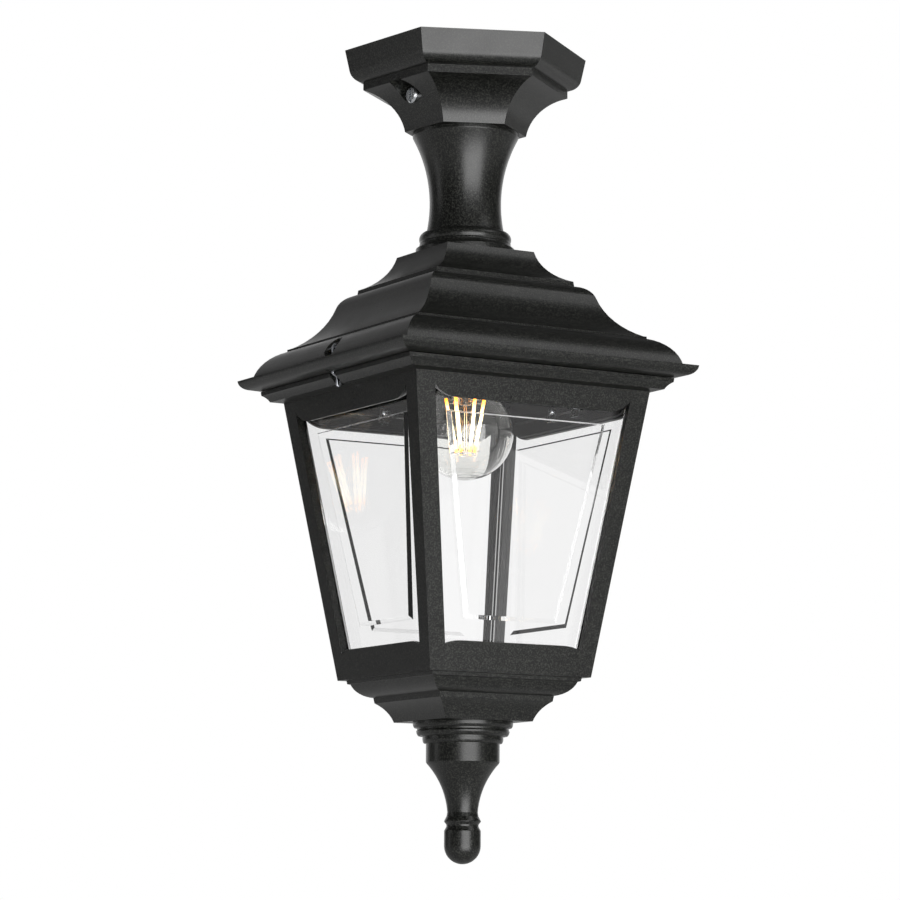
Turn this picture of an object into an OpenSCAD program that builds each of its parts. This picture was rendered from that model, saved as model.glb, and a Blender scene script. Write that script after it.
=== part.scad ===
// Square tapered porch lantern that hangs close under a ceiling.
// The origin is the centre of the ceiling face, and everything lies below it.
// The front is -Y, the latch side is -X and the hinge side is +X.

/* [Canopy] */
// Turn of the canopy, its bracket and side screws about the vertical, degrees
canopy_turn = 8; // [-30:1:30]
// Canopy across the flats at the ceiling
canopy_w = 133.4; // [124:0.2:150]
// Height of the canopy
canopy_h = 51; // [48:0.5:60]
// Height of the upright rim
canopy_rim_h = 13.4; // [10:0.2:16]
// Draft of the rim on each side
canopy_draft = 2.6; // [1:0.1:4]
// Height of the rounded shoulder under the rim
canopy_shoulder_h = 7; // [5:0.2:9]
// Step in from the ceiling to the narrow band, each side
canopy_step_w = 10.2; // [8:0.1:12]
// Height of the narrow band
canopy_band_h = 4.8; // [3:0.2:7]
// Canopy across the flats at its foot
canopy_foot_w = 66.8; // [64:0.2:80]
// Wall of the canopy
canopy_wall = 3; // [2:0.1:4]
// Diameter of the round recess around each side screw
recess_d = 17.5; // [14:0.1:20]
// Place of the recess floor on the way from the foot to the band
recess_out = 0.35; // [0.28:0.01:0.44]
// Depth of the side screws below the ceiling
side_screw_z = 32; // [30:0.2:34]

/* [Bracket] */
// Thickness of the strap
strap_t = 2; // [1.5:0.1:3]
// Width of the strap
strap_w = 26; // [20:0.5:34]
// Pitch circle of the two ceiling screw holes
ceiling_pcd = 52; // [48:0.5:54]
// Diameter of the ceiling screw holes
ceiling_hole_d = 5.2; // [4:0.1:6]
// Gap between each ear and the boss that its screw passes through
ear_gap = 4.2; // [4:0.1:5]
// Length of each ear past the side screw
ear_tail = 4; // [3.5:0.1:4.5]
// Thread diameter of the side screws
side_screw_d = 5; // [4:0.1:6]
// Head diameter of the side screws
side_head_d = 10.5; // [9:0.1:12]
// Head height of the side screws
side_head_h = 3; // [2:0.1:4]
// Length of the side screw shanks
side_screw_len = 12; // [10:0.5:16]

/* [Wiring] */
// Length of the terminal block
block_l = 28; // [24:0.5:34]
// Width of the terminal block
block_w = 14; // [12:0.5:18]
// Height of the terminal block
block_h = 11; // [9:0.5:14]
// Spacing of its three poles
pole_pitch = 9; // [8:0.2:10]
// Bore of the brass tube in each pole
pole_bore_d = 3.2; // [3:0.1:4]
// Diameter of each insulated wire
wire_d = 2.2; // [1.8:0.1:2.4]
// Distance of each wire from the axis inside the tube
wire_spread = 1.7; // [1.6:0.1:2]
// Diameter of the earth screw
earth_screw_d = 4; // [3:0.1:5]
// Gap between the terminal block and the eye under the earth screw
earth_gap = 0.3; // [0.2:0.1:1]

/* [Tube] */
// Outside diameter of the threaded tube
tube_d = 10; // [9.5:0.1:12]
// Bore of the threaded tube
tube_bore = 7; // [6.8:0.1:7.6]
// Length of the tube above its upper nut
tube_head = 2; // [1:0.2:4]
// Width of the tube nuts across the flats
tube_nut_w = 17; // [15:0.5:19]
// Height of the tube nuts
tube_nut_h = 5; // [4:0.2:6]
// Outside diameter of the tube washers
tube_washer_d = 20; // [19:0.5:24]
// Thickness of the tube washers
tube_washer_t = 1.5; // [1:0.1:2]

/* [Neck] */
// Step in from the foot of the canopy to the neck collar, each side
collar_step_w = 0.1; // [0.1:0.1:3]
// Height of the collar
neck_collar_h = 2.5; // [1.5:0.1:4]
// Diameter at the foot of the long hollow curve
neck_low_d = 48.4; // [46:0.2:52]
// Height of the long hollow curve
neck_curve_h = 60.3; // [54:0.2:66]
// Diameter over the bead
neck_bead_d = 57.6; // [55:0.2:60]
// Height of the bead
neck_bead_h = 7.8; // [6:0.1:9]
// Diameter of the plinth on the roof
neck_plinth_d = 62; // [60:0.2:62.4]
// Height of the plinth with its flare
neck_plinth_h = 6.5; // [5:0.1:8]
// Height of the upright edge of the plinth
neck_edge_h = 3; // [2:0.1:4]
// Wall of the neck
neck_wall = 3; // [2:0.1:5]

/* [Roof] */
// Step out from the neck to the square top of the roof, each side
roof_step_w = 0.3; // [0.2:0.1:3]
// Place of the first tier on the way from the top to the foot of the tiers
tier1_out = 0.267; // [0.24:0.001:0.28]
// Height of the first tier hollow
tier1_h = 19.9; // [18:0.1:22]
// Height of the upright band under the first tier
tier1_band_h = 3.3; // [2:0.1:5]
// Place of the second tier shoulder on the same way
tier2_out = 0.421; // [0.39:0.001:0.45]
// Height of the second tier shoulder
tier2_shoulder_h = 7.9; // [6:0.1:9]
// Place of the foot of the second tier on the same way
tier2_foot_out = 0.744; // [0.71:0.001:0.77]
// Height of the second tier hollow
tier2_h = 25.1; // [22:0.1:28]
// Height of the thin step over the third tier
tier3_step_h = 1.3; // [1:0.1:2]
// Width of the flat ledge of the lip outside the third tier, each side
lip_ledge_w = 7; // [6:0.1:8]
// Height of the third tier shoulder
tier3_h = 17.3; // [16:0.1:20]
// Reach of the lip past the cage ring, each side
lip_reach = 11; // [10:0.1:13]
// Height of the rounded edge of the lip
lip_h = 5.9; // [4.5:0.1:7]
// Width of the flat rim around the mouth of the roof, each side
rim_flat_w = 5; // [4:0.1:6]
// Width of the rounded edge of the lip, each side
lip_round_w = 5; // [4:0.1:6]
// Fall of the lip towards its edge
lip_fall = 0.4; // [0.2:0.1:1]
// Height of the slope between the lip edge and the rim
rim_drop = 1.3; // [0.8:0.1:2]
// Wall of the roof
roof_wall = 3; // [2.5:0.1:3.5]
// Width of the arched latch window in the roof
arch_w = 13.5; // [12:0.2:16]
// Height of the arched latch window
arch_h = 10.3; // [9:0.1:12]
// Height of the sill of the arched window over the rim
arch_sill = 12.2; // [11.5:0.1:13]

/* [Cage] */
// Width of the curve of the ring moulding, each side
ring_curve_w = 4.4; // [3.5:0.1:5.5]
// Step out from the cage to the foot of the ring moulding, each side
ring_step_w = 6.4; // [5.5:0.1:7]
// Gap between the roof rim and the cage ring
seat_gap = 0.3; // [0.2:0.05:0.6]
// Height of the ring moulding
ring_h = 7.8; // [7:0.1:10]
// Height of the upright edge of the ring
ring_edge_h = 2.4; // [2:0.1:3]
// Gap between the ring and the glass clips, which stand up into its opening
clip_gap = 0.5; // [0.3:0.1:1]
// Square width of the cage at the top
cage_top_w = 166.4; // [164:0.2:170]
// Square width of the cage at the bottom
cage_foot_w = 114; // [112:0.2:118]
// Height of the cage frames
cage_h = 175.6; // [165:0.2:185]
// Thickness of the frame faces in front of the glass
face_t = 5; // [4:0.1:6]
// Width of each upright, from the corner to the opening
stile_w = 11.6; // [11:0.1:13]
// Height of the top rail
top_rail_h = 14.5; // [12:0.1:17]
// Height of the bottom rail
bottom_rail_h = 18.2; // [16:0.1:22]
// Length of the curved ears at the top of the opening
top_ear_l = 15.5; // [12:0.5:20]
// Rise of the ears at the top of the opening
top_ear_h = 7.1; // [4:0.1:8]
// Length of the curved ears at the bottom of the opening
low_ear_l = 12; // [8:0.5:16]
// Drop of the ears at the bottom of the opening
low_ear_h = 2.5; // [1:0.1:4]
// Width of the small step along the inside of the opening
quirk_w = 1; // [0.5:0.1:1.5]
// Depth of the small step behind the face
quirk_depth = 2.4; // [1.5:0.1:3.5]
// Joint between neighbouring frames, each side of the mitre
mitre_gap = 0.05; // [0.03:0.01:0.2]

/* [Glass] */
// Thickness of the glass
glass_t = 4; // [3:0.1:4]
// Thickness of the flat border of the glass
glass_border_t = 2.6; // [2:0.1:2.8]
// Cover of the glass behind each upright
glass_cover = 1.6; // [1:0.1:1.7]
// Cover of the glass past the ears at top and bottom
glass_end_cover = 2.5; // [2:0.1:3]
// Width of the border along the sides
border_side = 16; // [10:0.1:17]
// Width of the border along the top
border_top = 17.5; // [10:0.1:24]
// Width of the border along the bottom
border_foot = 17.8; // [12:0.1:22]
// Width of the bevel from the border up to the raised field, at its sides and foot
bevel_w = 2.8; // [1.5:0.1:4]
// Width of this bevel along the top of the field
bevel_top_w = 0.6; // [0.5:0.1:3]
// Gap between the glass and what holds it
glass_gap = 0.3; // [0.2:0.05:0.4]
// Width of each glass clip
clip_w = 9; // [8:0.5:12]
// Height of each glass clip
clip_h = 9; // [7:0.1:9.3]
// Thickness of each glass clip
clip_t = 0.8; // [0.6:0.1:1.2]
// Part of each glass clip that lies on the frame
clip_seat = 4.4; // [3.8:0.1:4.6]
// Distance of the glass clips from the middle of a frame
clip_x = 14; // [12:0.5:16]
// Thread diameter of the glass clip screws
clip_screw_d = 2; // [1.6:0.1:2.2]

/* [Frame screws] */
// Thread diameter of the screws into the frames
frame_screw_d = 3; // [2.5:0.1:3.2]
// Head diameter of these screws
frame_head_d = 5.6; // [5:0.1:6]
// Head height of these screws
frame_head_h = 2; // [1.5:0.1:2.4]
// Distance of the upper screws from the middle of a frame
ring_screw_x = 50; // [40:1:56]
// Distance of the upper screws from the face of the frame
ring_screw_inset = 5.5; // [4:0.1:6.5]
// Reach of the upper screws into the frame
ring_screw_reach = 4; // [3:0.1:4.2]
// Distance of the lower screws from the middle of a frame
base_screw_x = 30; // [26:0.5:32]
// Distance of the lower screws from the edge of the base
base_screw_inset = 6.6; // [6.4:0.1:6.8]
// Reach of the lower screws into the base
base_screw_reach = 5; // [3:0.1:5.4]
// Height of the frame foot over the heads of the lower screws
base_screw_deck = 6; // [5:0.1:8]

/* [Base] */
// Step in from the cage to the base, each side
base_step_w = 4.05; // [3:0.05:5]
// Height of the upright edge of the base
base_edge_h = 2.2; // [1.5:0.1:3]
// Width of the small ledge under the edge, each side
base_ledge_w = 1.9; // [1:0.1:2.2]
// Height of the small ledge
base_ledge_h = 0.4; // [0.2:0.1:0.8]
// Height of the rounded part of the base
base_round_h = 8.4; // [7:0.1:10]
// Place of the band on the way from the foot of the base to its edge
base_band_out = 0.432; // [0.36:0.001:0.5]
// Height of the band
base_band_h = 3.3; // [2:0.1:5]
// Height of the hollow part of the base
base_cove_h = 12.1; // [11:0.1:14]
// Step out from the finial to the foot of the base, each side
base_foot_step_w = 0.3; // [0.2:0.1:3]
// Wall of the base
base_wall = 4; // [3:0.1:5]
// Width of the rim around the recess in the top of the base, each side
base_rim_w = 8.95; // [8.4:0.05:9.5]

/* [Finial] */
// Diameter of the top flange
flange_d = 61.8; // [58:0.2:62]
// Height of the top flange
flange_h = 3.8; // [3:0.1:5]
// Diameter of the groove under the flange
groove_d = 56.6; // [52:0.2:57]
// Height of the groove
groove_h = 1.4; // [1:0.1:2]
// Diameter of the second ring
ring2_d = 57.6; // [57.2:0.2:60]
// Height of the second ring
ring2_h = 3.6; // [3:0.1:5]
// Diameter of the third ring
ring3_d = 49.8; // [47:0.2:52]
// Height of the third ring
ring3_h = 4.4; // [3:0.1:6]
// Diameter of the drum
drum_d = 45.4; // [42:0.2:46]
// Height of the drum
drum_h = 11.6; // [8:0.1:14]
// Height of the flare under the drum
flare_h = 30.6; // [26:0.2:36]
// Diameter of the stem at the foot of the flare
stem_d = 18.8; // [16:0.2:20]
// Diameter of the sharp ring on the stem
bead_d = 22.6; // [21:0.2:26]
// Height of the sharp ring
bead_h = 8.6; // [6:0.1:10]
// Diameter of the rounded tip
tip_d = 22.54; // [20:0.2:28]
// Height of the neck above the tip
tip_neck_h = 2.6; // [2:0.1:4]
// Height of the upright part of the tip
tip_h = 9.1; // [6:0.1:12]
// Thread diameter of the stud that holds the finial
stud_d = 8; // [6:0.1:10]
// Reach of the stud into the finial
stud_reach = 16; // [10:0.5:22]
// Width of the stud nut across the flats
stud_nut_w = 13; // [12:0.5:17]
// Height of the stud nut
stud_nut_h = 6.5; // [5:0.1:8]
// Outside diameter of the stud washer
stud_washer_d = 17; // [15:0.5:22]
// Thickness of the stud washer
stud_washer_t = 1.6; // [1:0.1:2]

/* [Hinge and latch] */
// Diameter of the hinge pin
pin_d = 3; // [2.6:0.1:3.2]
// Radial running clearance of the hinge pin and latch pin
pin_fit = 0.05; // [0.03:0.01:0.1]
// Outside radius of the hinge knuckles
knuckle_r = 3.2; // [2.9:0.1:3.3]
// Clearance between the hinge pieces
hinge_gap = 0.3; // [0.25:0.05:0.4]
// Length of each knuckle of the roof
roof_knuckle_l = 8; // [6:0.2:12]
// Length of each knuckle of the cage
cage_knuckle_l = 12; // [8:0.2:16]
// Distance of the outer end of the roof knuckles from the middle
hinge_half = 44; // [36:0.5:60]
// Swing of the latch away from the cage, degrees
latch_swing = 12; // [8:1:14]
// Height of the latch pin over the rim
latch_pin_rise = 15.5; // [15:0.1:16]
// Distance of the latch pin from the edge of the lip
latch_pin_inset = 12.9; // [12.6:0.1:13.4]
// Inward step of the latch wire under the rim
latch_kink = 3.1; // [2.6:0.1:3.2]
// Bend radius of the finger end of the latch wire
latch_turn_r = 1.1; // [1:0.05:1.3]
// Reach of the latch wire below the top of the ring
latch_reach = 8; // [7.4:0.1:9]
// Diameter of the latch wire
latch_wire_d = 1.4; // [1.2:0.1:1.6]
// Diameter of the latch pin
latch_pin_d = 1.8; // [1.4:0.1:2.2]
// Width of the notch in the ring for the latch
notch_w = 7; // [6:0.2:9]
// Depth of the notch in the ring
notch_depth = 7; // [6.8:0.1:7.6]
// Width of the slot through the rim for the latch wire
latch_slot_w = 3; // [2.6:0.1:4]

/* [Lamp] */
// Room over the lamp inside the lampholder
contact_room = 12.3; // [11:0.1:14]
// Depth of the lampholder below the top of the roof
holder_drop = 15; // [12:0.5:18]
// Outside diameter of the lampholder
holder_d = 39; // [36:0.2:44]
// Height of the lampholder
holder_h = 53; // [50:0.5:56]
// Thickness of the lampholder top
holder_top_t = 10; // [8:0.2:12]
// Bore of the screw shell
shell_bore = 27.3; // [27:0.1:28]
// Wall of the screw shell
shell_wall = 0.8; // [0.5:0.1:1.5]
// Diameter of the lamp bulb
bulb_d = 60; // [55:0.5:62]
// Overall length of the lamp
lamp_l = 105; // [100:0.5:112]
// Diameter of the screw cap
cap_d = 26.4; // [26:0.1:26.6]
// Length of the screw cap
cap_l = 26; // [24:0.2:28]
// Radius of the filament strips around the axis at their lower ends
filament_low_r = 5.5; // [5:0.1:8]
// Radius of the filament strips around the axis at their upper ends
filament_high_r = 12; // [9:0.2:15]
// Height of the lower ends of the filament strips over the bottom of the bulb
filament_rise = 17; // [14:0.5:22]
// Wall of the bulb glass
bulb_wall = 0.8; // [0.6:0.1:1.2]
// Number of filament strips
filaments = 6; // [4:1:8]
// Length of each filament strip
filament_l = 34; // [30:0.5:38]
// Diameter of each filament strip
filament_d = 1.9; // [1.4:0.1:2.2]

/* [Hidden] */
$fn = 96;
// Overshoot of every cut past the face that it opens
over = 1;
// Room on the diameter of a plain hole for the screw, stud or head in it
hole_slack = 0.4;
// Room past the end of a screw, a stud or the lamp contact
end_slack = 0.2;

// Widths of the canopy and neck
canopy_band_w = canopy_w - 2 * canopy_step_w;
recess_floor = (canopy_foot_w + recess_out * (canopy_band_w - canopy_foot_w)) / 2;
neck_collar_d = canopy_foot_w - 2 * collar_step_w;

// Lean of the cage faces from the vertical, and the depth of their frames
cage_lean = atan((cage_top_w - cage_foot_w) / 2 / cage_h);
frame_depth = face_t + glass_t + 2 * glass_gap;

// Square widths of the ring and roof, all carried by the top of the cage
ring_hole_w = cage_top_w - 2 * (frame_depth * cos(cage_lean) - clip_gap);
ring_foot_w = cage_top_w + 2 * ring_step_w;
ring_w = ring_foot_w + 2 * ring_curve_w;
rim_w = ring_w;
roof_mouth_w = rim_w - 2 * rim_flat_w;
lip_w = ring_w + 2 * lip_reach;
tier3_foot_w = lip_w - 2 * lip_ledge_w;
roof_top_w = neck_plinth_d + 2 * roof_step_w;
function tier_w(out) = roof_top_w + out * (tier3_foot_w - roof_top_w);
tier1_w = tier_w(tier1_out);
tier2_w = tier_w(tier2_out);
tier2_foot_w = tier_w(tier2_foot_out);

// Square widths of the base, between the foot of the cage and the finial
base_w = cage_foot_w - 2 * base_step_w;
base_mouth_w = base_w - 2 * base_rim_w;
base_foot_w = flange_d + 2 * base_foot_step_w;
base_band_w = base_foot_w + base_band_out * (base_w - base_foot_w);

// Heights of the stack, all measured from the ceiling face
canopy_foot_z = -canopy_h;
canopy_floor_z = canopy_foot_z + canopy_wall;
neck_h = neck_collar_h + neck_curve_h + neck_bead_h + neck_plinth_h;
roof_top_z = canopy_foot_z - neck_h;
tiers_h = tier1_h + tier1_band_h + tier2_shoulder_h + tier2_h + tier3_step_h + tier3_h;
lip_z = roof_top_z - tiers_h;
rim_z = lip_z - lip_fall - lip_h - rim_drop;
ring_top_z = rim_z - seat_gap;
cage_top_z = ring_top_z - ring_h;
cage_foot_z = cage_top_z - cage_h;
base_h = base_edge_h + base_ledge_h + base_round_h + base_band_h + base_cove_h;
base_foot_z = cage_foot_z - base_h;

// Black powder coat, bright plating, brass, glass and porcelain
coat = [0.12, 0.12, 0.12];
plate = [0.78, 0.79, 0.8];
yellow_brass = [0.8, 0.65, 0.3];
clear = [0.85, 0.92, 0.95, 0.35];

// Points of an arc that goes from p to q and turns through the angle, without p
function arc(p, q, turn, n = 8) =
    let (v = q - p, c = (p + q) / 2 + [-v[1], v[0]] / 2 / tan(turn / 2), d = p - c)
    [for (i = [1:n]) let (a = turn * i / n)
        c + [d[0] * cos(a) - d[1] * sin(a), d[0] * sin(a) + d[1] * cos(a)]];

// Both halves of an outline that is alike about the vertical axis
function both_sides(half) =
    concat(half, [for (i = [len(half) - 1:-1:0]) [-half[i][0], half[i][1]]]);

// A moulding run along Y, from its half outline
module run(half, span) {
    translate([0, span / 2, 0]) rotate([90, 0, 0])
        linear_extrude(height = span) polygon(both_sides(half));
}

// A square body whose mouldings meet in mitres at the four corners
module square_body(half, span) {
    intersection() {
        run(half, span);
        rotate([0, 0, 90]) run(half, span);
    }
}

// A six-sided body whose mouldings meet in mitres at the six corners
module six_sided_body(half, span) {
    intersection() {
        run(half, span);
        rotate([0, 0, 60]) run(half, span);
        rotate([0, 0, 120]) run(half, span);
    }
}

// A round bar between two heights
module bar(d, z_top, z_foot) {
    translate([0, 0, z_foot]) cylinder(h = z_top - z_foot, d = d);
}

// A flat ring between two heights
module ring(d, bore, z_top, z_foot) {
    difference() {
        bar(d, z_top, z_foot);
        bar(bore, z_top + over, z_foot - over);
    }
}

// A six-sided nut between two heights
module nut(flats, bore, z_top, z_foot) {
    difference() {
        translate([0, 0, z_foot])
            cylinder(h = z_top - z_foot, d = flats / cos(30), $fn = 6);
        bar(bore, z_top + over, z_foot - over);
    }
}

// A slotted screw along Z, with its head on top of z = 0
module screw(d, reach, head_d, head_h) {
    difference() {
        union() {
            translate([0, 0, -reach]) cylinder(h = reach, d = d);
            cylinder(h = head_h * 0.6, d = head_d);
            translate([0, 0, head_h * 0.6])
                cylinder(h = head_h * 0.4, d1 = head_d, d2 = head_d * 0.8);
        }
        translate([-head_d, -head_d * 0.07, head_h * 0.5])
            cube([2 * head_d, head_d * 0.14, head_h]);
    }
}

// Points of a smooth curve with two end points and two pull points, without a
function curve(a, pull_a, pull_b, b, n = 12) = [for (i = [1:n]) let (t = i / n, s = 1 - t)
    s * s * s * a + 3 * s * s * t * pull_a + 3 * s * t * t * pull_b + t * t * t * b];

function unit(v) = v / norm(v);

// Direction of travel along a route at one of its points
function heading(route, i) =
    unit(route[min(i + 1, len(route) - 1)] - route[max(i - 1, 0)]);

// A round wire of the given diameter along a route, with flat ends.
// side is a direction that the route never runs along.
module wire(route, d, side, sides = 8) {
    rings = len(route);
    points = [for (i = [0:rings - 1]) let (
            t = heading(route, i), u = unit(cross(side, t)), w = cross(t, u))
        for (k = [0:sides - 1]) let (a = 360 * k / sides)
            route[i] + d / 2 * (u * cos(a) + w * sin(a))];
    walls = [for (i = [0:rings - 2]) for (k = [0:sides - 1])
        let (k2 = (k + 1) % sides, a = i * sides, b = a + sides)
        each [[a + k, b + k, b + k2], [a + k, b + k2, a + k2]]];
    first = [for (k = [0:sides - 1]) k];
    last = [for (k = [sides - 1:-1:0]) (rings - 1) * sides + k];
    polyhedron(points = points, faces = concat([first], walls, [last]));
}

// ---------------------------------------------------------------- canopy

band_top_z = -canopy_rim_h - canopy_shoulder_h;
canopy_half = concat(
    [[canopy_w / 2, 0], [canopy_w / 2 - canopy_draft, -canopy_rim_h]],
    arc([canopy_w / 2 - canopy_draft, -canopy_rim_h], [canopy_band_w / 2, band_top_z], -74),
    [[canopy_band_w / 2, band_top_z - canopy_band_h]],
    arc([canopy_band_w / 2, band_top_z - canopy_band_h],
        [canopy_foot_w / 2, canopy_foot_z], 65, 12));
canopy_inside = [for (p = canopy_half) p + [-canopy_wall, canopy_wall]];

module at_side_screws() {
    for (side = [0, 180])
        rotate([0, 0, side]) translate([0, 0, -side_screw_z]) rotate([0, 90, 0]) children();
}

boss_d = recess_d + 2 * canopy_wall;
boss_back = recess_floor - canopy_wall;

module canopy() color(coat) rotate([0, 0, canopy_turn]) difference() {
    union() {
        difference() {
            six_sided_body(canopy_half, 2 * canopy_w);
            six_sided_body(canopy_inside, 2 * canopy_w);
        }
        intersection() {
            six_sided_body(canopy_half, 2 * canopy_w);
            at_side_screws() translate([0, 0, boss_back]) cylinder(h = canopy_w, d = boss_d);
        }
    }
    at_side_screws() {
        translate([0, 0, recess_floor]) cylinder(h = canopy_w, d = recess_d);
        translate([0, 0, ear_outside])
            cylinder(h = canopy_w, d = side_screw_d + hole_slack);
    }
    bar(tube_d + 2 * pin_fit, canopy_floor_z + over, canopy_foot_z - over);
}

module canopy_screws() color(plate) rotate([0, 0, canopy_turn]) at_side_screws()
    translate([0, 0, recess_floor])
        screw(side_screw_d - 2 * pin_fit, side_screw_len, side_head_d, side_head_h);

// ---------------------------------------------------------------- bracket

ear_outside = boss_back - ear_gap;

module ceiling_bracket() color(plate) rotate([0, 0, canopy_turn]) difference() {
    union() {
        translate([-ear_outside, -strap_w / 2, -strap_t])
            cube([2 * ear_outside, strap_w, strap_t]);
        for (side = [0, 180]) rotate([0, 0, side])
            translate([ear_outside - strap_t, -strap_w / 2, -side_screw_z - ear_tail])
                cube([strap_t, strap_w, side_screw_z + ear_tail]);
    }
    for (side = [-1, 1]) translate([side * ceiling_pcd / 2, 0, 0])
        bar(ceiling_hole_d, over, -strap_t - over);
    at_side_screws() translate([0, 0, ear_outside - strap_t - over])
        cylinder(h = strap_t + 2 * over, d = side_screw_d);
    translate([earth_screw_x, earth_y, 0]) bar(earth_screw_d, over, -strap_t - over);
    translate([block_screw_x, 0, 0]) bar(block_screw_d, over, -strap_t - over);
}

module earth_screw() color(yellow_brass) rotate([0, 0, canopy_turn])
    translate([earth_screw_x, earth_y, -strap_t - eye_t]) mirror([0, 0, 1])
        screw(earth_screw_d - 2 * pin_fit, strap_t + eye_t - end_slack, earth_head_d,
            earth_screw_d * 0.6);

eye_d = earth_screw_d * 2.1;
earth_head_d = earth_screw_d * 1.9;
earth_screw_x = (block_l + eye_d) / 2 + earth_gap;
// Thickness of the wire eye held under the earth screw
eye_t = 0.8;
// Side position of the earth screw on the strap
earth_y = strap_w / 4;

// ---------------------------------------------------------------- wiring

block_top_z = -strap_t;
block_foot_z = block_top_z - block_h;
pole_z = block_top_z - block_h / 2;
// Thread diameter of the screw that holds the block
block_screw_d = 3;
// The block screw passes between the second and the third pole
block_screw_x = pole_pitch / 2;

module at_poles() {
    for (i = [-1:1]) translate([i * pole_pitch, 0, pole_z]) children();
}

module terminal_block() color("white") rotate([0, 0, canopy_turn]) difference() {
    translate([-block_l / 2, -block_w / 2, block_foot_z]) cube([block_l, block_w, block_h]);
    at_poles() rotate([90, 0, 0])
        translate([0, 0, -block_w]) cylinder(h = 2 * block_w, d = pole_tube_d);
    translate([block_screw_x, 0, 0]) bar(block_screw_d, block_top_z + over, block_foot_z - over);
}

// Wall of the brass tube in each pole
pole_tube_wall = 0.7;
pole_tube_d = pole_bore_d + 2 * pole_tube_wall;

module terminal_tubes() color(yellow_brass) rotate([0, 0, canopy_turn]) at_poles()
    rotate([90, 0, 0]) difference() {
        translate([0, 0, -block_w * 0.4]) cylinder(h = block_w * 0.8, d = pole_tube_d);
        translate([0, 0, -block_w]) cylinder(h = 2 * block_w, d = pole_bore_d);
    }

module terminal_screw() color(plate) rotate([0, 0, canopy_turn])
    translate([block_screw_x, 0, block_foot_z]) mirror([0, 0, 1])
        screw(block_screw_d - 2 * pin_fit, block_h + strap_t, block_screw_d * 1.8,
            block_screw_d * 0.6);

// Both supply wires leave the block on one side and drop into the tube
wire_exit_y = -block_w / 2 - 2 * wire_d;
function supply_route(side, foot) = concat(
    [[side * pole_pitch, 0, pole_z], [side * pole_pitch, wire_exit_y / 2, pole_z],
        [side * pole_pitch, wire_exit_y, pole_z]],
    curve([side * pole_pitch, wire_exit_y, pole_z],
        [side * pole_pitch, 2 * wire_exit_y, pole_z],
        [side * wire_spread, 0, pole_z - block_w], [side * wire_spread, 0, tube_top_z + wire_d]),
    foot);

module live_wire() color([0.45, 0.25, 0.12]) rotate([0, 0, canopy_turn])
    wire(supply_route(-1, [[-wire_spread, 0, roof_top_z],
        [-wire_spread, 0, contact_top_z]]), wire_d, [1, 0, 0]);

// The second wire turns out to the flange of the screw shell
neutral_y = (shell_bore + 2 * shell_wall) * 0.34;
module neutral_wire() color([0.2, 0.35, 0.65]) rotate([0, 0, canopy_turn])
    wire(supply_route(1, concat([[wire_spread, 0, roof_top_z],
        [wire_spread, 0, cavity_top_z]],
        curve([wire_spread, 0, cavity_top_z], [wire_spread, 0, shell_top_z + wire_d * 0.7],
            [wire_spread, neutral_y, cavity_top_z - wire_d / 2],
            [wire_spread, neutral_y, shell_top_z + wire_d / 4]),
        [[wire_spread, neutral_y, shell_top_z]])), wire_d, [1, 0, 0]);

// The earth wire ends on the tail of an eye under the earth screw, clear of its head
earth_pole = [0, 0, pole_z];
eye_tail = earth_head_d / 2 + wire_d;
earth_end = [earth_screw_x, earth_y + eye_tail - wire_d / 2, -strap_t - wire_d * 0.55];
module earth_wire() color([0.35, 0.6, 0.2]) rotate([0, 0, canopy_turn]) {
    wire(concat([earth_pole, earth_pole + [0, block_w, 0]],
        curve(earth_pole + [0, block_w, 0], earth_pole + [0, 2 * block_w, 0],
            earth_end + [block_w / 2, 2 * block_w, 0], earth_end)), wire_d, [0, 0, 1]);
    translate([earth_screw_x, earth_y, 0]) difference() {
        union() {
            bar(eye_d, -strap_t, -strap_t - eye_t);
            translate([-wire_d, 0, -strap_t - eye_t]) cube([2 * wire_d, eye_tail, eye_t]);
        }
        bar(earth_screw_d + hole_slack, over, -strap_t - eye_t - over);
    }
}

// ---------------------------------------------------------------- tube

upper_nut_top_z = canopy_floor_z + tube_washer_t + tube_nut_h;
tube_top_z = upper_nut_top_z + tube_head;
roof_deck_z = roof_top_z - roof_wall;
holder_top_z = roof_top_z - holder_drop;
holder_ledge_z = holder_top_z - holder_top_t * 0.8;

module threaded_tube() color(plate) ring(tube_d, tube_bore, tube_top_z, holder_ledge_z);

module tube_nuts() color(plate) {
    nut(tube_nut_w, tube_d, upper_nut_top_z, canopy_floor_z + tube_washer_t);
    nut(tube_nut_w, tube_d, roof_deck_z - tube_washer_t,
        roof_deck_z - tube_washer_t - tube_nut_h);
}

module tube_washers() color(plate) {
    ring(tube_washer_d, tube_d, canopy_floor_z + tube_washer_t, canopy_floor_z);
    ring(tube_washer_d, tube_d, roof_deck_z, roof_deck_z - tube_washer_t);
}

// ---------------------------------------------------------------- neck

neck_bead_z = -neck_collar_h - neck_curve_h;
neck_plinth_z = neck_bead_z - neck_bead_h;
neck_half = concat(
    [[neck_collar_d / 2, 0], [neck_collar_d / 2, -neck_collar_h]],
    arc([neck_collar_d / 2, -neck_collar_h], [neck_low_d / 2, neck_bead_z], 40, 16),
    [[neck_low_d / 2, neck_bead_z - neck_bead_h * 0.1]],
    arc([neck_low_d / 2, neck_bead_z - neck_bead_h * 0.1],
        [neck_bead_d / 2 * 0.985, neck_bead_z - neck_bead_h * 0.9], -125, 12),
    [[neck_bead_d / 2 * 0.993, neck_plinth_z], [neck_bead_d / 2 * 0.993,
        neck_plinth_z - neck_plinth_h * 0.15]],
    arc([neck_bead_d / 2 * 0.993, neck_plinth_z - neck_plinth_h * 0.15],
        [neck_plinth_d / 2, -neck_h + neck_edge_h], 40),
    [[neck_plinth_d / 2, -neck_h]]);
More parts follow.
